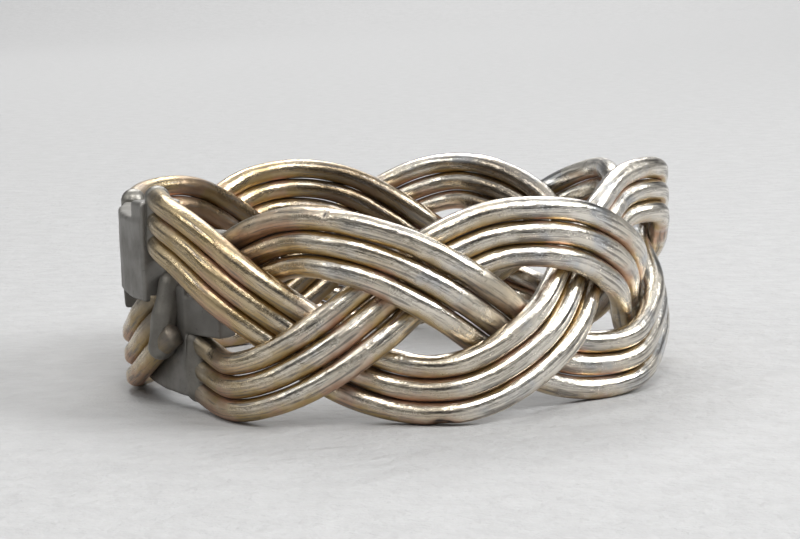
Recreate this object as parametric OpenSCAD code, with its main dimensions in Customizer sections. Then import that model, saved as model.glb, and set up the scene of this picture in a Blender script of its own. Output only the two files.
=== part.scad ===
// Braided silver wire finger ring, lying on its edge with the finger hole upright.
// Nine round wires run once round the finger as three strands of three.
// The strands are woven over and under like a plait. Both cut ends of the braid are
// soldered to a plain joining plate on the left side of the ring.
// Units are millimetres. The axis of the finger hole is Z and the ring stands on Z = 0.
// Angles round the ring are in degrees to the right of the front, which faces -Y.

/* [Wire] */
// Diameter of each round wire
wire_d = 0.8; // [0.78:0.01:0.82]
// Spacing of neighbouring wires at a bend, as a multiple of the wire diameter
wire_pitch = 1.005; // [1.005:0.005:1.02]

/* [Ring] */
// Smallest free diameter of the finger hole
finger_d = 17.3; // [17:0.1:18]

/* [Braid] */
// Angle round the ring from one upper bend of the braid to the next
bend_step = 44.5; // [44:0.1:45]
// Place of the upper bend nearest the front
front_bend = -16.6; // [-18:0.1:-15]
// Height of a strand's wave, from the middle of the band to a bend
wave_h = 2.58; // [2.5:0.01:2.65]
// How far a strand moves in and out as it weaves
weave_depth = 0.570; // [0.568:0.001:0.58]
// How much higher the left strand's bend stands beside the joining plate
left_rise = 0.40; // [0.35:0.05:0.45]
// How much higher the left strand's next upper bend stands, on the right of the ring
right_rise = 0.65; // [0.55:0.05:0.65]

/* [Joining plate] */
// Height of the plate's tall part above the middle of the band
plate_top = 3.05; // [2.95:0.05:3.15]
// How far the tall part's outer face stands beyond the mean radius
plate_out = 0.78; // [0.7:0.02:0.84]

/* [Hidden] */
// Shape of the weave
strand_count = 3;
flat_top = 0.0126;      // third harmonic of the wave, which rounds off its bends
square_weave = 0.1545;  // third harmonic of the weave, which keeps crossings apart
weave_peak = 0.867;     // largest value of the weave's profile
row_lead = 3.6;         // phase by which the outer wires weave before or after the middle one
spread = 0.10;          // how far a strand fans out between its bends
waves_per_turn = 360 / (strand_count * bend_step);
mean_r = finger_d / 2 + wire_d / 2 + weave_peak * weave_depth;
middle_z = wave_h * (1 - flat_top) + wire_pitch * wire_d + wire_d / 2;

// Facets of a swept wire
wire_sides = 10;
ring_step = 4.2;

// Where each strand starts and stops. Strand 0 makes the front bend, strand 1 the next
// bend to the right of it and strand 2 the next to the left.
STARTS = [-41.2, -52.2, -61];
STOPS = [264, 264, 303];

// The plate: its faces, and the height and reach of each of its parts
plate_from = -97;       // left face of the tall part
plate_to = -60;         // right face of the tall part
tall_low = 0.05;
shoulder_from = -66;    // the raised end of the tall part that holds the left strand
shoulder_to = -60.02;
shoulder_low = 1;
shoulder_top = 3.65;
foot_from = -96.7;      // the foot under the tall part's left end
foot_to = -86;
foot_low = -0.85;
foot_top = 1;
tongue_out = 0.04;      // outer face of the thin part under the braid's ends
tongue_from = -82;
tongue_to = -51.2;
tongue_low = -3.25;
tongue_high = 0.75;
tip_from = -53;         // the thin part's tip, which reaches on to the right
tip_to = -40;
tip_low = -1;
tip_high = 0.4;
tab_from = -48;         // the tab behind the left strand that holds strand 0
tab_to = -40.3;
tab_low = -0.8;
tab_high = 2.75;
corner_r = 0.12;

// How far each part's faces lie inside those of the tall part, so that no two share a face
tongue_inset = 0.02;
foot_inset = 0.03;
tip_inset = 0.04;
shoulder_inset = 0.05;
tab_inset = 0.06;

solder_r = 0.44;
corner_sides = 24;
band_sides = 180;
solder_sides = 16;
sample_turn = 0.2;      // half the step over which a wire's direction is measured

// Strand 2 is one bend to the left of the front one.
function bends_right(strand) = strand == 2 ? -1 : strand;

// Phase of a strand's wave at an angle round the ring: 90 is an upper bend.
function phase(turn, strand) =
    waves_per_turn * (turn - front_bend - bends_right(strand) * bend_step) + 90;

// How much higher than the others the upper bend nearest this angle stands. It changes
// at a lower bend, where it has no effect.
function bend_rise(turn, strand) =
    strand != 2 ? 0
    : turn < front_bend + 0.5 * bend_step ? left_rise
    : turn < front_bend + 3.5 * bend_step ? right_rise
    : 0;

function highness(a) = (1 + sin(a)) / 2;
function wave_z(a, rise) =
    wave_h * (sin(a) + flat_top * sin(3 * a)) + rise * highness(a) ^ 2;
function wave_slope(a, rise) =
    (wave_h * (cos(a) + 3 * flat_top * cos(3 * a)) + rise * highness(a) * cos(a))
    * waves_per_turn / mean_r;
function weave_r(a) = mean_r - weave_depth * (sin(2 * a) + square_weave * sin(6 * a));

// Distance of a wire from its strand's middle, along the band's axis. Row is 1 for the
// upper wire, 0 for the middle one and -1 for the lower one.
function row_lift(a, m, row) =
    row * wire_pitch * wire_d * (1 + spread * (1 + cos(2 * a)) / 2) / sqrt(1 + m * m);

// A wire is set off square to its strand, so its angle round the ring shifts as well.
function row_turn(turn, strand, row) =
    let (a = phase(turn, strand))
    let (m = wave_slope(a, bend_rise(turn, strand)))
    -row_lift(a, m, row) * m / mean_r * 180 / PI;

function wire_centre(turn, strand, row) =
    let (a = phase(turn, strand))
    let (rise = bend_rise(turn, strand))
    let (angle = turn + row_turn(turn, strand, row))
    let (r = weave_r(a + row_lead * row * cos(a)))
    let (lift = row_lift(a, wave_slope(a, rise), row))
    [r * sin(angle), -r * cos(angle), middle_z + wave_z(a, rise) + lift];

// The turn at which a wire's own centre stands at a given angle.
function turn_at(angle, strand, row) =
    let (first = angle - row_turn(angle, strand, row))
    angle - row_turn(first, strand, row);

function unit(v) = v / norm(v);

// One ring of points round a wire's centre, square to its path.
function wire_ring(turn, strand, row) =
    let (c = wire_centre(turn, strand, row))
    let (ahead = wire_centre(turn + sample_turn, strand, row))
    let (behind = wire_centre(turn - sample_turn, strand, row))
    let (along = unit(ahead - behind))
    let (outward = unit([c[0], c[1], 0]))
    let (across = unit(cross(along, outward)))
    let (lift = cross(across, along))
    [for (i = [0 : wire_sides - 1])
        let (u = 360 * i / wire_sides)
        c + wire_d / 2 * (cos(u) * across + sin(u) * lift)];

// A wire as one closed tube with flat cut ends.
module wire(strand, row) {
    start = turn_at(STARTS[strand], strand, row);
    stop = turn_at(STOPS[strand], strand, row);
    count = ceil((stop - start) / ring_step);
    step = (stop - start) / count;
    points = [for (k = [0 : count]) each wire_ring(start + k * step, strand, row)];
    sides = [
        for (k = [0 : count - 1])
        for (i = [0 : wire_sides - 1])
        let (j = (i + 1) % wire_sides)
        let (base = k * wire_sides)
        [base + i, base + wire_sides + i, base + wire_sides + j, base + j]
    ];
    first_cap = [for (i = [0 : wire_sides - 1]) i];
    last_cap = [for (i = [wire_sides - 1 : -1 : 0]) count * wire_sides + i];
    polyhedron(points = points, faces = concat([first_cap], sides, [last_cap]));
}

module front_strand_upper_wire() {
    color("silver") wire(0, 1);
}

module front_strand_middle_wire() {
    color("gainsboro") wire(0, 0);
}

module front_strand_lower_wire() {
    color("silver") wire(0, -1);
}

module right_strand_upper_wire() {
    color("khaki") wire(1, 1);
}

module right_strand_middle_wire() {
    color("darkkhaki") wire(1, 0);
}

module right_strand_lower_wire() {
    color("khaki") wire(1, -1);
}

module left_strand_upper_wire() {
    color("lightsteelblue") wire(2, 1);
}

module left_strand_middle_wire() {
    color("slategray") wire(2, 0);
}

module left_strand_lower_wire() {
    color("lightsteelblue") wire(2, -1);
}

// A rectangle with rounded corners, from one corner point to the other.
module rounded_rectangle(low, high) {
    translate([low[0] + corner_r, low[1]])
        square([high[0] - low[0] - 2 * corner_r, high[1] - low[1]]);
    translate([low[0], low[1] + corner_r])
        square([high[0] - low[0], high[1] - low[1] - 2 * corner_r]);
    for (x = [low[0] + corner_r, high[0] - corner_r])
        for (y = [low[1] + corner_r, high[1] - corner_r])
            translate([x, y]) circle(r = corner_r, $fn = corner_sides);
}

// Part of a plain round band between two angles. Inset draws both its faces in a little,
// so that the parts of the plate never share a face.
module band_piece(from, to, r_out, low, high, inset) {
    translate([0, 0, middle_z])
        rotate([0, 0, from - 90])
            rotate_extrude(angle = to - from, $fn = band_sides)
                rounded_rectangle([finger_d / 2 + inset, low], [r_out - inset, high]);
}

module joining_plate() {
    thick_r = mean_r + plate_out;
    thin_r = mean_r + tongue_out;
    color("dimgray")
        union() {
            band_piece(plate_from, plate_to, thick_r, tall_low, plate_top, 0);
            band_piece(tongue_from, tongue_to, thin_r, tongue_low, tongue_high, tongue_inset);
            band_piece(foot_from, foot_to, thick_r, foot_low, foot_top, foot_inset);
            band_piece(tip_from, tip_to, thin_r, tip_low, tip_high, tip_inset);
            band_piece(shoulder_from, shoulder_to, thick_r, shoulder_low, shoulder_top,
                shoulder_inset);
            band_piece(tab_from, tab_to, thin_r, tab_low, tab_high, tab_inset);
        }
}

// A run of solder across the ends of a strand's three wires, where they meet the plate.
module solder_run(strand, angle) {
    color("darkgray")
        hull()
            for (row = [-1 : 1])
                translate(wire_centre(turn_at(angle, strand, row), strand, row))
                    sphere(r = solder_r, $fn = solder_sides);
}

module front_strand_start_solder() {
    solder_run(0, tip_to);
}

module right_strand_start_solder() {
    solder_run(1, tongue_to);
}

module left_strand_start_solder() {
    solder_run(2, plate_to);
}

module front_strand_end_solder() {
    solder_run(0, plate_from + 360);
}

module right_strand_end_solder() {
    solder_run(1, plate_from + 360);
}

module left_strand_end_solder() {
    solder_run(2, STOPS[2]);
}

front_strand_upper_wire();
front_strand_middle_wire();
front_strand_lower_wire();
right_strand_upper_wire();
right_strand_middle_wire();
right_strand_lower_wire();
left_strand_upper_wire();
left_strand_middle_wire();
left_strand_lower_wire();
joining_plate();
front_strand_start_solder();
right_strand_start_solder();
left_strand_start_solder();
front_strand_end_solder();
right_strand_end_solder();
left_strand_end_solder();
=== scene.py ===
"""Braided silver wire finger ring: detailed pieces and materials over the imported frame.

Lengths inside the shape functions are millimetres, as in the CAD model, and become metres
when a mesh is made. Angles round the ring are degrees to the right of the front (-Y).
"""

import math

import bmesh
import bpy
import numpy as np
from mathutils import Matrix, Vector
from mathutils.kdtree import KDTree


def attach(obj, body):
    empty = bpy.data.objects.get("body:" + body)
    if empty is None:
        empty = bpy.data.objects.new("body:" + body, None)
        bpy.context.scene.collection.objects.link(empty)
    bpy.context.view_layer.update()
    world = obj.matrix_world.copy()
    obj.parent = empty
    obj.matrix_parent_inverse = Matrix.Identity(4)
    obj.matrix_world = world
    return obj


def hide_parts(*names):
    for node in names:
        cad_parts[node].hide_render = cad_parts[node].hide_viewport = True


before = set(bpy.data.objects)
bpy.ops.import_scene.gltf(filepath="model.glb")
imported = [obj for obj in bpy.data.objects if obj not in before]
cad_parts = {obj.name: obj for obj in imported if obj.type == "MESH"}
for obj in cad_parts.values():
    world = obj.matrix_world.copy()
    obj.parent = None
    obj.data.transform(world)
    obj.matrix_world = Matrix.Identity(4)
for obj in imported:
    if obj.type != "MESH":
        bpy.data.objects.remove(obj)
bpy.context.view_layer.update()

MM = 0.001

# Sizes of the braid, the same as in the CAD model
WIRE_R = 0.4
PITCH = 1.005 * 2 * WIRE_R
FINGER_R = 8.65
BEND_STEP = 44.5
FRONT_BEND = -16.6
WAVE_H = 2.58
WEAVE = 0.570
WEAVE_PEAK = 0.867
FLAT_TOP = 0.0126
SQUARE_WEAVE = 0.1545
LEAD = 3.6
LEFT_RISE = 0.40
RIGHT_RISE = 0.65
SPREAD = 0.10
WAVES = 360 / (3 * BEND_STEP)
MEAN_R = FINGER_R + WIRE_R + WEAVE_PEAK * WEAVE
MIDDLE_Z = WAVE_H * (1 - FLAT_TOP) + PITCH + WIRE_R
ANY_PHASE = 6.28  # a random phase lies between 0 and this

# Strand name, bends to the right of the front one, first and last angle
STRANDS = [
    ("front", 0, -41.2, 264.0),
    ("right", 1, -52.2, 264.0),
    ("left", -1, -61.0, 303.0),
]
ROWS = [("upper", 1), ("middle", 0), ("lower", -1)]

# The mesh of a wire
RING_GAP = 0.09       # distance between its rings, measured on a length
LENGTH_GUESS = 1.15   # that many times longer than the same turn round the mean radius
RING_SIDES = 36
TANGENT_TURN = 0.2    # degrees to either side over which a wire's direction is taken
CAP_HEIGHT = 0.12     # how far the middle of a wire's end stands out

# How a worn, hand-woven wire differs from a plain round one
WOBBLE_OUT = 0.0112   # wander of its centre outward and inward
WOBBLE_UP = 0.0080    # and up and down
THICKNESS = 0.992     # share of the full radius, give or take THICKNESS_VARIES
THICKNESS_VARIES = 0.008
DENT_WAVES = 5        # broad shallow dents are this many waves of DENT_DEPTH
DENT_DEPTH = 0.0035
CREST_WEAR = 0.075    # share of the radius worn off the crests that stand furthest out
CREST_FROM = 0.15     # wear begins this far outside the mean radius
CREST_OVER = 0.35     # and is full this much further out
CREST_SOFTNESS = 0.012
CREST_FACING = 0.3    # only the side that faces outward at least this much is worn
FAR_OUT = 1.0         # a radius that no wear reaches
ROLLED_WIDER = 0.082  # between its bends a strand is rolled a little flat
ROLLED_THINNER = 0.050

# Where tarnish, polish and painted shade lie
GROOVE_GAP = 0.22     # closer than this to another wire is in a groove
CREST_LOW, CREST_HIGH = 0.25, 0.95  # a crest stands this far outside the mean radius
INSIDE_DEPTH = 0.75   # how far from the finger hole the painted shade on the ring's inside reaches
UNDER_BIAS = 0.15     # share of a radius above a wire's middle where the painted shade on its lower flank begins
CAP_GROOVE = 0.6      # a wire's end is as tarnished as this much of a groove


# ---------------------------------------------------------------- the wires' paths

def phase(turn, bends):
    return np.radians(WAVES * (turn - FRONT_BEND - bends * BEND_STEP) + 90)


def bend_rise(turn, bends):
    """How much higher than the others the upper bend nearest each angle stands."""
    if bends != -1:
        return np.zeros_like(turn)
    beside_plate = turn < FRONT_BEND + 0.5 * BEND_STEP
    on_the_right = turn < FRONT_BEND + 3.5 * BEND_STEP
    return np.where(beside_plate, LEFT_RISE, np.where(on_the_right, RIGHT_RISE, 0.0))


def wire_path(turn, bends, row):
    """Centre of a wire at each angle in turn, in millimetres."""
    a = phase(turn, bends)
    rise = bend_rise(turn, bends)
    high = (1 + np.sin(a)) / 2
    slope = WAVE_H * (np.cos(a) + 3 * FLAT_TOP * np.cos(3 * a)) + rise * high * np.cos(a)
    slope = slope * WAVES / MEAN_R
    fan = 1 + SPREAD * (1 + np.cos(2 * a)) / 2
    lift = row * PITCH * fan / np.sqrt(1 + slope * slope)
    angle = np.radians(turn) - lift * slope / MEAN_R
    led = a + math.radians(LEAD) * row * np.cos(a)
    r = MEAN_R - WEAVE * (np.sin(2 * led) + SQUARE_WEAVE * np.sin(6 * led))
    z = MIDDLE_Z + WAVE_H * (np.sin(a) + FLAT_TOP * np.sin(3 * a)) + rise * high**2 + lift
    return np.stack([r * np.sin(angle), -r * np.cos(angle), z], -1)


def turn_at(angle, bends, row):
    """The turn at which a wire's own centre stands at an angle."""
    turn = angle
    for _ in range(4):
        x, y, _z = wire_path(np.array([turn]), bends, row)[0]
        here = math.degrees(math.atan2(x, -y))
        turn += (angle - here + 180) % 360 - 180
    return turn


NOISE_WAVES = 5
NOISE_SPREAD = 1.6  # about how far the waves add up


def smooth_noise(t, seed, scale):
    """A gentle uneven wave of about unit size along t, whose longest wave is 2 pi scale."""
    rng = np.random.default_rng(seed)
    total = np.zeros_like(t)
    for k in range(1, NOISE_WAVES + 1):
        total += rng.normal() * np.sin(t * k / scale + rng.uniform(0, 2 * np.pi)) / k
    return total / NOISE_SPREAD


# ---------------------------------------------------------------- wires as meshes

# Small marks: strand, row, angle round the ring, angle round the wire (0 is outward,
# 90 is up), depth, and reach along and round the wire, all in mm or degrees
NICKS = [
    ("front", 1, -12.5, 38, 0.085, 0.07, 0.20),
    ("left", -1, 8.0, -52, 0.16, 0.20, 0.20),
    ("left", -1, 9.6, -60, 0.10, 0.14, 0.16),
    ("front", 1, 3.0, 10, 0.010, 0.12, 0.16),
    ("front", 0, 10.5, 5, 0.012, 0.16, 0.20),
    ("front", -1, 13.0, 0, 0.014, 0.20, 0.22),
    ("right", 0, -28.0, 8, 0.010, 0.12, 0.18),
    ("right", 1, 24.0, 35, 0.008, 0.10, 0.14),
    ("left", 0, 2.0, -5, 0.010, 0.10, 0.20),
    ("front", 1, 0.5, 34, 0.030, 0.05, 0.14),
    ("front", 0, -6.0, 20, 0.028, 0.05, 0.12),
    ("left", -1, -3.0, 10, 0.030, 0.05, 0.14),
]
DIRTY_DEPTH = 0.09  # a nick this deep is black inside
SOOT_REACH = 1.3    # how far soldering has dulled a wire from its ends

# Where handling has left a strand matt: strand, angle round the ring, reach in degrees
MATT_PATCHES = [
    ("front", 19.0, 8.0),
    ("right", 22.0, 5.0),
    ("left", -47.0, 5.0),
]


class WireShape:
    """The points of one wire's surface, on a grid of rings and sides."""

    def __init__(self, strand, bends, first, last, row, seed):
        self.strand, self.row, self.bends = strand, row, bends
        start, stop = turn_at(first, bends, row), turn_at(last - 360, bends, row) + 360
        length = math.radians(stop - start) * MEAN_R * LENGTH_GUESS
        turns = np.linspace(start, stop, int(length / RING_GAP))
        c = wire_path(turns, bends, row)
        ahead = wire_path(turns + TANGENT_TURN, bends, row)
        behind = wire_path(turns - TANGENT_TURN, bends, row)
        along = ahead - behind
        along /= np.linalg.norm(along, axis=1)[:, None]
        out = c * [1, 1, 0]
        out /= np.linalg.norm(out, axis=1)[:, None]
        side = np.cross(along, out)
        side /= np.linalg.norm(side, axis=1)[:, None]
        up = side * np.where(side[:, 2] < 0, -1, 1)[:, None]
        out = np.cross(up, along)
        out *= np.sign(np.sum(out * c * [1, 1, 0], axis=1))[:, None]
        self.turns, self.along, self.out, self.up = turns, along, out, up
        self.s = np.concatenate([[0], np.cumsum(np.linalg.norm(np.diff(c, axis=0), axis=1))])
        c = c + out * (WOBBLE_OUT * smooth_noise(self.s, seed, scale=3.1))[:, None]
        c = c + up * (WOBBLE_UP * smooth_noise(self.s, seed + 1, scale=2.3))[:, None]
        self.centre = c
        self.seed = seed
        self.grid = self.surface()

    def surface(self):
        u = np.linspace(0, 2 * np.pi, RING_SIDES, endpoint=False)
        self.u = u
        varies = THICKNESS_VARIES * smooth_noise(self.s, self.seed + 2, scale=1.7)
        r = np.repeat(WIRE_R * (THICKNESS + varies)[:, None], RING_SIDES, axis=1)
        # broad shallow dents, some radians a millimetre along it and one to three times round it
        for k in range(DENT_WAVES):
            rng = np.random.default_rng(self.seed * 7 + k)
            r += DENT_DEPTH * np.sin(
                self.s[:, None] * rng.uniform(0.8, 3.0) + rng.integers(1, 4) * u[None, :]
                + rng.uniform(0, ANY_PHASE)
            )
        # crests that stand furthest out are worn flatter
        outward = np.linalg.norm(self.centre[:, :2], axis=1) - MEAN_R
        worn = np.clip((outward - CREST_FROM) / CREST_OVER, 0, 1)
        flat = WIRE_R * (1 - CREST_WEAR * worn)[:, None]
        facing = np.cos(u)[None, :]
        limit = flat / np.maximum(facing, CREST_FACING)
        limit = np.where(facing > CREST_FACING, np.minimum(limit, FAR_OUT), FAR_OUT)
        r = -CREST_SOFTNESS * np.log(np.exp(-r / CREST_SOFTNESS) + np.exp(-limit / CREST_SOFTNESS))
        where = np.degrees(np.arctan2(self.centre[:, 0], -self.centre[:, 1]))
        self.dirt = np.zeros_like(r)
        for strand, row, angle, around, depth, reach, reach_round in NICKS:
            if (strand, row) != (self.strand, self.row):
                continue
            ds = np.radians(where - angle) * MEAN_R
            du = np.angle(np.exp(1j * (u - math.radians(around)))) * WIRE_R
            hit = np.exp(-(ds[:, None] / reach) ** 2 - (du[None, :] / reach_round) ** 2)
            r -= depth * hit
            self.dirt = np.maximum(self.dirt, hit * min(1, depth / DIRTY_DEPTH))
        matt = np.zeros(len(where))
        for strand, angle, reach in MATT_PATCHES:
            if strand == self.strand:
                matt = np.maximum(matt, np.exp(-((where - angle) / reach) ** 2))
        self.matt = np.repeat(matt[:, None], RING_SIDES, axis=1)
        # painted shade on the lower flank of each wire, which faces the shadowed floor
        self.under = np.repeat(np.clip(UNDER_BIAS - np.sin(u), 0, 1)[None, :], len(where), axis=0)
        to_end = np.minimum(self.s, self.s[-1] - self.s)
        self.soot = np.repeat(np.exp(-((to_end / SOOT_REACH) ** 2))[:, None], RING_SIDES, axis=1)
        # rolled flat between its bends, so that its wires stay touching
        fan = (1 + np.cos(2 * phase(self.turns, self.bends))) / 2
        wide = (1 + ROLLED_WIDER * fan)[:, None, None]
        thin = (1 - ROLLED_THINNER * fan)[:, None, None]
        dirs = (
            thin * np.cos(u)[None, :, None] * self.out[:, None, :]
            + wide * np.sin(u)[None, :, None] * self.up[:, None, :]
        )
        return self.centre[:, None, :] + r[:, :, None] * dirs


def gap_to_others(shape, others):
    """Distance from each surface point to the nearest other wire's surface."""
    pts = np.concatenate([o.centre for o in others])
    tree = KDTree(len(pts))
    for i, p in enumerate(pts):
        tree.insert(p, i)
    tree.balance()
    flat = shape.grid.reshape(-1, 3)
    return np.array([tree.find(p)[2] for p in flat]) - WIRE_R


def step(x, low, high):
    """0 below low, 1 above high, and a smooth rise between."""
    t = np.clip((x - low) / (high - low), 0, 1)
    return t * t * (3 - 2 * t)


def make_mesh(name, verts, faces, attributes, uvs):
    mesh = bpy.data.meshes.new(name)
    mesh.from_pydata((verts * MM).tolist(), [], faces)
    mesh.update()
    for key, values in attributes:
        layer = mesh.attributes.new(key, "FLOAT", "POINT")
        layer.data.foreach_set("value", values.astype(np.float32))
    layer = mesh.uv_layers.new(name="UVMap")
    loops = np.empty(len(mesh.loops), dtype=np.int32)
    mesh.loops.foreach_get("vertex_index", loops)
    layer.data.foreach_set("uv", uvs[loops].astype(np.float32).ravel())
    for p in mesh.polygons:
        p.use_smooth = True
    ob = bpy.data.objects.new(name, mesh)
    bpy.context.scene.collection.objects.link(ob)
    return ob


def wire_object(shape, others):
    """A wire's mesh, with what its material needs to know stored on its points."""
    rings, sides = shape.grid.shape[:2]
    verts = shape.grid.reshape(-1, 3)
    faces = []
    for k in range(rings - 1):
        for i in range(sides):
            j = (i + 1) % sides
            a, b = k * sides, (k + 1) * sides
            faces.append((a + i, a + j, b + j, b + i))
    caps = [
        shape.centre[0] - CAP_HEIGHT * shape.along[0],
        shape.centre[-1] + CAP_HEIGHT * shape.along[-1],
    ]
    verts = np.concatenate([verts, np.array(caps)])
    first, last = len(verts) - 2, len(verts) - 1
    base = (rings - 1) * sides
    for i in range(sides):
        j = (i + 1) % sides
        faces.append((first, j, i))
        faces.append((last, base + i, base + j))
    gap = gap_to_others(shape, others)
    groove = 1 - step(gap, 0.0, GROOVE_GAP)
    r = np.linalg.norm(shape.grid[:, :, :2], axis=2).ravel()
    crest = step(r - MEAN_R, CREST_LOW, CREST_HIGH)
    inside = 1 - step(r - FINGER_R, 0.0, INSIDE_DEPTH)
    pad = np.zeros(2)
    attributes = [
        ("groove", np.concatenate([groove, pad + CAP_GROOVE])),
        ("crest", np.concatenate([crest, pad])),
        ("inside", np.concatenate([inside, pad])),
        ("dirt", np.concatenate([shape.dirt.ravel(), pad])),
        ("matt", np.concatenate([shape.matt.ravel(), pad])),
        ("under", np.concatenate([shape.under.ravel(), pad])),
        ("soot", np.concatenate([shape.soot.ravel(), pad + 1])),
    ]
    around = np.tile(shape.u * WIRE_R, rings)
    along = np.repeat(shape.s, sides)
    uvs = np.stack([np.concatenate([around, pad]), np.concatenate([along, pad])], -1)
    height = next(name for name, row in ROWS if row == shape.row)
    ob = make_mesh(f"{shape.strand}_{height}_wire", verts, faces, attributes, uvs)
    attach(ob, "root")
    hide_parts(f"{shape.strand}_strand_{height}_wire")
    return ob


def build_wires(material):
    shapes = []
    for s, (strand, bends, first, last) in enumerate(STRANDS):
        for k, (_name, row) in enumerate(ROWS):
            shapes.append(WireShape(strand, bends, first, last, row, 11 + 17 * s + 5 * k))
    for shape in shapes:
        ob = wire_object(shape, [o for o in shapes if o is not shape])
        ob.data.materials.append(material)


# ---------------------------------------------------------------- plate and solder

UNEVEN_WAVES = 14     # waves that make a surface uneven
UNEVEN_RATE = 2.6
UNEVEN_SPREAD = 3.7   # about how far that many waves add up


def rounded_copy(node, name, voxel, smooth, seed, rough, swell=0.0):
    """A CAD node's shape with its edges worn round and a slightly uneven surface."""
    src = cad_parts[node]
    mesh = src.data.copy()
    mesh.transform(src.matrix_world)
    mesh.transform(Matrix.Scale(1 / MM, 4))
    tmp = bpy.data.objects.new(name + "_tmp", mesh)
    bpy.context.scene.collection.objects.link(tmp)
    mod = tmp.modifiers.new("remesh", "REMESH")
    mod.mode, mod.voxel_size = "VOXEL", voxel
    mod = tmp.modifiers.new("smooth", "SMOOTH")
    mod.factor, mod.iterations = 0.5, smooth
    done = bpy.data.meshes.new_from_object(tmp.evaluated_get(bpy.context.evaluated_depsgraph_get()))
    bpy.data.objects.remove(tmp)
    n = len(done.vertices)
    co = np.empty(n * 3, dtype=np.float32)
    no = np.empty(n * 3, dtype=np.float32)
    done.vertices.foreach_get("co", co)
    done.vertex_normals.foreach_get("vector", no)
    co, no = co.reshape(-1, 3).astype(float), no.reshape(-1, 3)
    rng = np.random.default_rng(seed)
    bump = np.zeros(n)
    for _ in range(UNEVEN_WAVES):
        k = rng.normal(size=3) * UNEVEN_RATE
        bump += np.sin(co @ k + rng.uniform(0, ANY_PHASE))
    co = co + no * (swell + rough * bump / UNEVEN_SPREAD)[:, None]
    done.vertices.foreach_set("co", (co * MM).astype(np.float32).ravel())
    done.update()
    for p in done.polygons:
        p.use_smooth = True
    ob = bpy.data.objects.new(name, done)
    bpy.context.scene.collection.objects.link(ob)
    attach(ob, "root")
    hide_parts(node)
    return ob


def build_plate(material):
    ob = rounded_copy(
        "joining_plate", "joining_plate_worn", voxel=0.055, smooth=12, seed=5, rough=0.014
    )
    ob.data.materials.clear()
    ob.data.materials.append(material)


def build_solder(material):
    for i, node in enumerate(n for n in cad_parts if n.endswith("_solder")):
        ob = rounded_copy(
            node, node + "_run", voxel=0.035, smooth=5, seed=20 + i, rough=0.018, swell=0.05
        )
        ob.data.materials.clear()
        ob.data.materials.append(material)


# ---------------------------------------------------------------- materials

class Nodes:
    """A short way to write a material's node tree. Noise scales are per metre."""

    def __init__(self, name):
        self.mat = bpy.data.materials.new(name)
        self.mat.use_nodes = True
        self.tree = self.mat.node_tree
        self.shader = self.tree.nodes["Principled BSDF"]

    def add(self, kind, **inputs):
        node = self.tree.nodes.new(kind)
        for key, value in inputs.items():
            self.feed(node.inputs[key], value)
        return node

    def feed(self, socket, value):
        if isinstance(value, bpy.types.NodeSocket):
            self.tree.links.new(value, socket)
        else:
            socket.default_value = value

    def math(self, op, a, b=0.0, clamp=False):
        node = self.tree.nodes.new("ShaderNodeMath")
        node.operation, node.use_clamp = op, clamp
        self.feed(node.inputs[0], a)
        self.feed(node.inputs[1], b)
        return node.outputs[0]

    def attribute(self, name):
        node = self.tree.nodes.new("ShaderNodeAttribute")
        node.attribute_name = name
        return node.outputs["Fac"]

    def noise(self, vector, scale, detail=3.0, rough=0.55):
        node = self.add(
            "ShaderNodeTexNoise", Vector=vector, Scale=scale, Detail=detail, Roughness=rough
        )
        return node.outputs["Fac"]

    def stretch(self, vector, scale):
        node = self.tree.nodes.new("ShaderNodeMapping")
        self.feed(node.inputs["Vector"], vector)
        node.inputs["Scale"].default_value = scale
        return node.outputs[0]

    def ramp(self, value, low, high, a=0.0, b=1.0):
        node = self.tree.nodes.new("ShaderNodeMapRange")
        node.interpolation_type = "SMOOTHSTEP"
        self.feed(node.inputs["Value"], value)
        for key, v in (("From Min", low), ("From Max", high), ("To Min", a), ("To Max", b)):
            self.feed(node.inputs[key], v)
        return node.outputs[0]

    def mix(self, amount, a, b):
        node = self.tree.nodes.new("ShaderNodeMix")
        node.data_type = "RGBA"
        self.feed(node.inputs["Factor"], amount)
        self.feed(node.inputs["A"], a)
        self.feed(node.inputs["B"], b)
        return node.outputs["Result"]

    def bump(self, height, strength, distance, normal=None):
        node = self.add("ShaderNodeBump", Height=height, Strength=strength, Distance=distance)
        if normal is not None:
            self.tree.links.new(normal, node.inputs["Normal"])
        return node.outputs[0]


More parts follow.
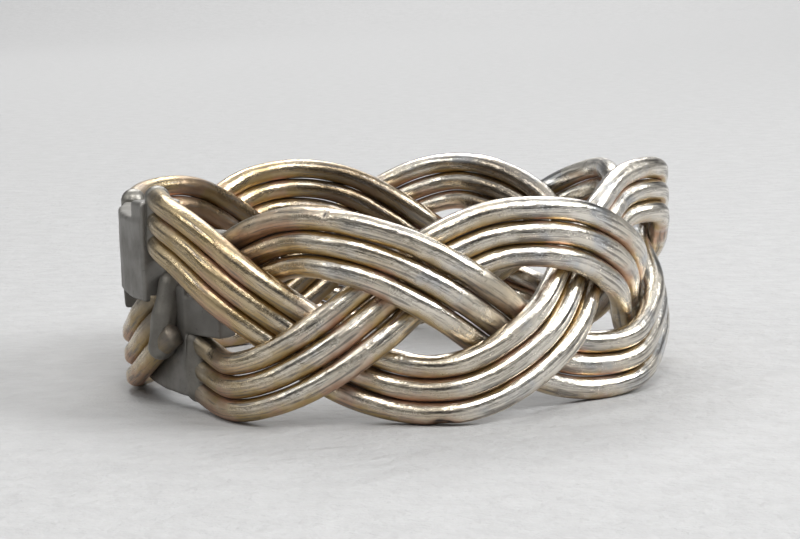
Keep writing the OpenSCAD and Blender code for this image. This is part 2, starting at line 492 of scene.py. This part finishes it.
def silver_wire():
    """Worn sterling silver, warm on the flanks and black in the grooves, with painted shade on the
    lower flanks, the inside and the left.
    """
    n = Nodes("worn_silver_wire")
    coords = n.tree.nodes.new("ShaderNodeTexCoord")
    place, uv = coords.outputs["Object"], coords.outputs["UV"]
    groove, crest, inside = (n.attribute(k) for k in ("groove", "crest", "inside"))
    dirt, matt, under, soot = (n.attribute(k) for k in ("dirt", "matt", "under", "soot"))
    mottle = n.noise(place, 900.0, 4.0, 0.6)
    broad = n.noise(place, 190.0, 3.0, 0.5)
    patch = n.noise(place, 420.0, 3.0, 0.55)
    specks = n.noise(place, 5200.0, 3.0, 0.7)
    drawn = n.noise(n.stretch(uv, (14.0, 0.9, 1.0)), 1.0, 3.0, 0.6)
    scratches = n.noise(n.stretch(uv, (5.0, 46.0, 1.0)), 1.0, 3.0, 0.7)
    side = n.add("ShaderNodeSeparateXYZ", Vector=place).outputs["X"]

    clean = (0.84, 0.80, 0.72, 1)
    steel = (0.60, 0.62, 0.64, 1)
    champagne = (0.54, 0.42, 0.24, 1)
    bronze = (0.47, 0.335, 0.150, 1)
    rose = (0.50, 0.315, 0.215, 1)
    tan = (0.36, 0.29, 0.19, 1)
    oxide = (0.115, 0.103, 0.095, 1)
    inner_shade_brown = (0.115, 0.080, 0.048, 1)
    streak_and_reflection_grey = (0.175, 0.160, 0.146, 1)
    soot_grey = (0.16, 0.152, 0.138, 1)
    pit_brown = (0.13, 0.10, 0.08, 1)

    # the left of the ring is yellower than the right, and darker with painted shade
    left_warmth_and_shade = n.ramp(side, 0.008, -0.009, 0.12, 0.46)
    warm = n.ramp(n.math("ADD", n.math("MULTIPLY", broad, 0.8), left_warmth_and_shade), 0.45, 1.05)
    cool = n.ramp(n.noise(place, 640.0, 3.0, 0.6), 0.50, 0.68)
    colour = n.mix(warm, n.mix(cool, clean, steel), champagne)
    # tarnish gathers in the grooves and leaves the crest bright; painted shade darkens the lower
    # flanks and the left side
    edge = n.math("ADD", n.math("MULTIPLY", groove, 0.62), n.math("MULTIPLY", mottle, 0.75))
    # painted shade: the left side is stained darker and the right side lighter
    edge = n.math("ADD", edge, n.math("MULTIPLY", n.math("SUBTRACT", left_warmth_and_shade, 0.23), 0.95))
    # painted shade: each wire's lower flank is darkened
    edge = n.math("ADD", edge, n.math("MULTIPLY", under, 0.42))
    tarnish_and_shade = n.ramp(n.math("SUBTRACT", edge, n.math("MULTIPLY", crest, 0.14)), 0.34, 0.86)
    colour = n.mix(tarnish_and_shade, colour, n.mix(n.ramp(patch, 0.46, 0.58), bronze, rose))
    # painted shade: the ring's inside is darkened brown
    inside_shade_amount = n.math("MULTIPLY", inside, n.ramp(broad, 0.35, 0.7, 0.45, 0.9))
    colour = n.mix(inside_shade_amount, colour, inner_shade_brown)
    handled = n.math("MULTIPLY", matt, n.ramp(patch, 0.30, 0.70))
    colour = n.mix(n.math("MULTIPLY", handled, 0.7), colour, tan)
    # dark streaks along the wire, partly drawing marks and partly painted reflection of dark
    # surroundings, and the grey left by soldering near its ends
    drawn_lines_and_reflection = n.ramp(n.noise(n.stretch(uv, (7.5, 0.42, 1.0)), 1.0, 4.0, 0.62), 0.50, 0.63)
    colour = n.mix(n.math("MULTIPLY", drawn_lines_and_reflection, 0.80), colour, streak_and_reflection_grey)
    sooty = n.math("MULTIPLY", soot, n.ramp(mottle, 0.25, 0.75, 0.65, 1.0))
    colour = n.mix(sooty, colour, soot_grey)
    black = n.ramp(n.math("ADD", groove, n.math("MULTIPLY", mottle, 0.34)), 0.98, 1.20)
    # painted light: grooves on the right, where more light falls, are painted less black
    black = n.math("MULTIPLY", black, n.ramp(left_warmth_and_shade, 0.12, 0.36, 0.60, 1.0))
    black = n.math("MAXIMUM", black, n.ramp(dirt, 0.25, 0.85))
    colour = n.mix(black, colour, oxide)
    pits = n.ramp(specks, 0.63, 0.73)
    colour = n.mix(n.math("MULTIPLY", pits, 0.55), colour, pit_brown)

    rough = n.ramp(tarnish_and_shade, 0.0, 1.0, 0.17, 0.36)
    rough = n.math("ADD", rough, n.math("MULTIPLY", black, 0.3))
    rough = n.math("ADD", rough, n.math("MULTIPLY", n.ramp(scratches, 0.5, 0.8), 0.10))
    rough = n.math("ADD", rough, n.math("MULTIPLY", n.math("MAXIMUM", handled, sooty), 0.20))
    rough = n.math("ADD", rough, n.math("MULTIPLY", n.ramp(patch, 0.46, 0.66), 0.13), clamp=True)

    n.feed(n.shader.inputs["Base Color"], colour)
    n.feed(n.shader.inputs["Roughness"], rough)
    n.feed(n.shader.inputs["Metallic"], n.ramp(black, 0.0, 1.0, 1.0, 0.35))
    normal = n.bump(drawn, 0.35, 0.00003)
    normal = n.bump(scratches, 0.22, 0.00002, normal)
    normal = n.bump(mottle, 0.70, 0.00008, normal)
    normal = n.bump(n.noise(place, 2600.0, 3.0, 0.6), 0.45, 0.00003, normal)
    normal = n.bump(specks, 0.35, 0.00001, normal)
    n.feed(n.shader.inputs["Normal"], normal)
    return n.mat


def dull_silver(name, clean, dark, rough_low, rough_high, pit_scale):
    """Grey tarnished silver with pits, for the plate and the solder."""
    n = Nodes(name)
    place = n.tree.nodes.new("ShaderNodeTexCoord").outputs["Object"]
    broad = n.noise(place, 260.0, 3.0, 0.5)
    mottle = n.noise(place, 1300.0, 4.0, 0.6)
    pits = n.noise(place, pit_scale, 3.0, 0.7)
    tarnish = n.ramp(n.math("ADD", broad, n.math("MULTIPLY", mottle, 0.5)), 0.5, 0.95)
    colour = n.mix(tarnish, clean, dark)
    pitted = n.math("MULTIPLY", n.ramp(pits, 0.62, 0.74), 0.5)
    colour = n.mix(pitted, colour, (0.08, 0.075, 0.07, 1))
    n.feed(n.shader.inputs["Base Color"], colour)
    n.feed(n.shader.inputs["Roughness"], n.ramp(tarnish, 0.0, 1.0, rough_low, rough_high))
    n.shader.inputs["Metallic"].default_value = 0.9
    normal = n.bump(mottle, 0.35, 0.00003)
    n.feed(n.shader.inputs["Normal"], n.bump(pits, 0.3, 0.00002, normal))
    return n.mat


def floor_paper():
    """Pale matt paper with a slight grain."""
    n = Nodes("pale_paper")
    place = n.tree.nodes.new("ShaderNodeTexCoord").outputs["Object"]
    grain = n.noise(place, 1900.0, 3.0, 0.60)
    fibre = n.noise(n.stretch(place, (1.0, 1.5, 1.0)), 620.0, 2.0, 0.5)
    colour = n.mix(n.ramp(fibre, 0.3, 0.7), (0.366, 0.366, 0.367, 1), (0.388, 0.388, 0.389, 1))
    n.feed(n.shader.inputs["Base Color"], colour)
    n.shader.inputs["Roughness"].default_value = 0.9
    n.shader.inputs["Specular IOR Level"].default_value = 0.2
    relief = n.math("ADD", n.math("MULTIPLY", grain, 0.8), fibre)
    n.feed(n.shader.inputs["Normal"], n.bump(relief, 0.7, 0.00020))
    return n.mat


# ---------------------------------------------------------------- stage, light, camera

def build_floor():
    """A paper sheet that lies flat under the ring and curves up behind it."""
    front, back, radius, top, half, steps = -0.6, 0.45, 0.40, 1.3, 1.4, 16
    profile = [(front, 0.0), (0.0, 0.0), (back, 0.0)]
    for k in range(1, steps + 1):
        a = math.pi / 2 * k / steps
        profile.append((back + radius * math.sin(a), radius * (1 - math.cos(a))))
    profile.append((back + radius, top))
    bm = bmesh.new()
    rows = [[bm.verts.new((x, y, z)) for x in (-half, 0.0, half)] for y, z in profile]
    for a, b in zip(rows, rows[1:]):
        for k in range(2):
            bm.faces.new((a[k], a[k + 1], b[k + 1], b[k])).smooth = True
    mesh = bpy.data.meshes.new("floor")
    bm.to_mesh(mesh)
    bm.free()
    ob = bpy.data.objects.new("floor", mesh)
    bpy.context.scene.collection.objects.link(ob)
    ob.data.materials.append(floor_paper())


def area_light(name, at, aim, size, power, colour):
    data = bpy.data.lights.new(name, "AREA")
    data.shape, data.size, data.size_y = "RECTANGLE", size[0], size[1]
    data.energy, data.color = power, colour
    ob = bpy.data.objects.new(name, data)
    ob.location = at
    ob.rotation_euler = (Vector(aim) - Vector(at)).to_track_quat("-Z", "Y").to_euler()
    bpy.context.scene.collection.objects.link(ob)


# The room: brightest overhead and towards the back, dim low down
ROOM_STRENGTH = 0.74
ROOM_LEAN = 0.20
ROOM_DIM, ROOM_DIM_AT = (0.09, 0.088, 0.085, 1), 0.06
ROOM_BRIGHT, ROOM_BRIGHT_AT = (1.0, 1.0, 1.0, 1), 0.52


def build_light():
    """A bright room with five soft lamps, and colours shown without tone compression."""
    bpy.context.scene.view_settings.view_transform = "Standard"
    world = bpy.data.worlds.new("studio")
    bpy.context.scene.world = world
    world.use_nodes = True
    tree = world.node_tree
    back = tree.nodes["Background"]
    coords = tree.nodes.new("ShaderNodeTexCoord")
    split = tree.nodes.new("ShaderNodeSeparateXYZ")
    tree.links.new(coords.outputs["Generated"], split.inputs[0])
    lean = tree.nodes.new("ShaderNodeMath")
    lean.operation = "MULTIPLY_ADD"
    lean.inputs[1].default_value = ROOM_LEAN
    tree.links.new(split.outputs["Y"], lean.inputs[0])
    tree.links.new(split.outputs["Z"], lean.inputs[2])
    ramp = tree.nodes.new("ShaderNodeValToRGB")
    dim, bright = ramp.color_ramp.elements
    dim.position, dim.color = ROOM_DIM_AT, ROOM_DIM
    bright.position, bright.color = ROOM_BRIGHT_AT, ROOM_BRIGHT
    tree.links.new(lean.outputs[0], ramp.inputs[0])
    tree.links.new(ramp.outputs[0], back.inputs["Color"])
    back.inputs["Strength"].default_value = ROOM_STRENGTH
    centre = (0, 0, MIDDLE_Z * MM)
    area_light("front", (0.03, -0.16, 0.22), centre, (0.14, 0.08), 0.34, (1.0, 0.99, 0.97))
    area_light("behind", (0.00, 0.18, 0.27), centre, (0.30, 0.14), 0.26, (1.0, 1.0, 1.0))
    area_light("right", (0.22, -0.06, 0.17), centre, (0.11, 0.11), 0.66, (0.98, 0.99, 1.0))
    area_light("left", (-0.22, -0.12, 0.20), centre, (0.06, 0.05), 0.10, (1.0, 0.98, 0.94))
    area_light("backdrop", (0.05, 0.45, 0.40), (0, 0.5, 0.1), (0.60, 0.20), 2.8, (1.0, 1.0, 1.0))


# The camera, found from where the braid's edges lie in the view
CAMERA_BACK = 75.9      # mm from the middle of the ring
CAMERA_UP = 8.5         # degrees above the horizontal
CAMERA_ROLL = -2.06     # degrees
FOCAL_PX = 1991.0       # focal length in pixels of an 800 pixel wide picture
AIM_PX = (394.9, 274.1)  # where the ring's middle lies in that picture
PICTURE = (800, 539)
SENSOR = 36.0


def build_camera():
    """The camera at the photograph's angle, shifted so that the ring lies where it does there."""
    data = bpy.data.cameras.new("camera")
    data.sensor_width = SENSOR
    data.lens = FOCAL_PX / PICTURE[0] * SENSOR
    data.clip_start, data.clip_end = 0.001, 10
    data.shift_x = (PICTURE[0] / 2 - AIM_PX[0]) / PICTURE[0]
    data.shift_y = (AIM_PX[1] - PICTURE[1] / 2) / PICTURE[0]
    ob = bpy.data.objects.new("camera", data)
    up = math.radians(CAMERA_UP)
    centre = Vector((0, 0, MIDDLE_Z * MM))
    ob.location = centre + Vector((0, -math.cos(up), math.sin(up))) * CAMERA_BACK * MM
    turn = (centre - ob.location).to_track_quat("-Z", "Y").to_matrix().to_4x4()
    roll = Matrix.Rotation(math.radians(CAMERA_ROLL), 4, "Z")
    ob.rotation_euler = (turn @ roll).to_euler()
    bpy.context.scene.collection.objects.link(ob)
    bpy.context.scene.camera = ob


build_camera()
build_floor()
build_light()
build_wires(silver_wire())
build_plate(
    dull_silver(
        "joining_plate_silver",
        clean=(0.27, 0.261, 0.244, 1),
        dark=(0.18, 0.172, 0.158, 1),
        rough_low=0.44,
        rough_high=0.58,
        pit_scale=4200.0,
    )
)
build_solder(
    dull_silver(
        "run_solder",
        clean=(0.26, 0.25, 0.225, 1),
        dark=(0.14, 0.13, 0.115, 1),
        rough_low=0.38,
        rough_high=0.54,
        pit_scale=6000.0,
    )
)
bpy.context.view_layer.update()
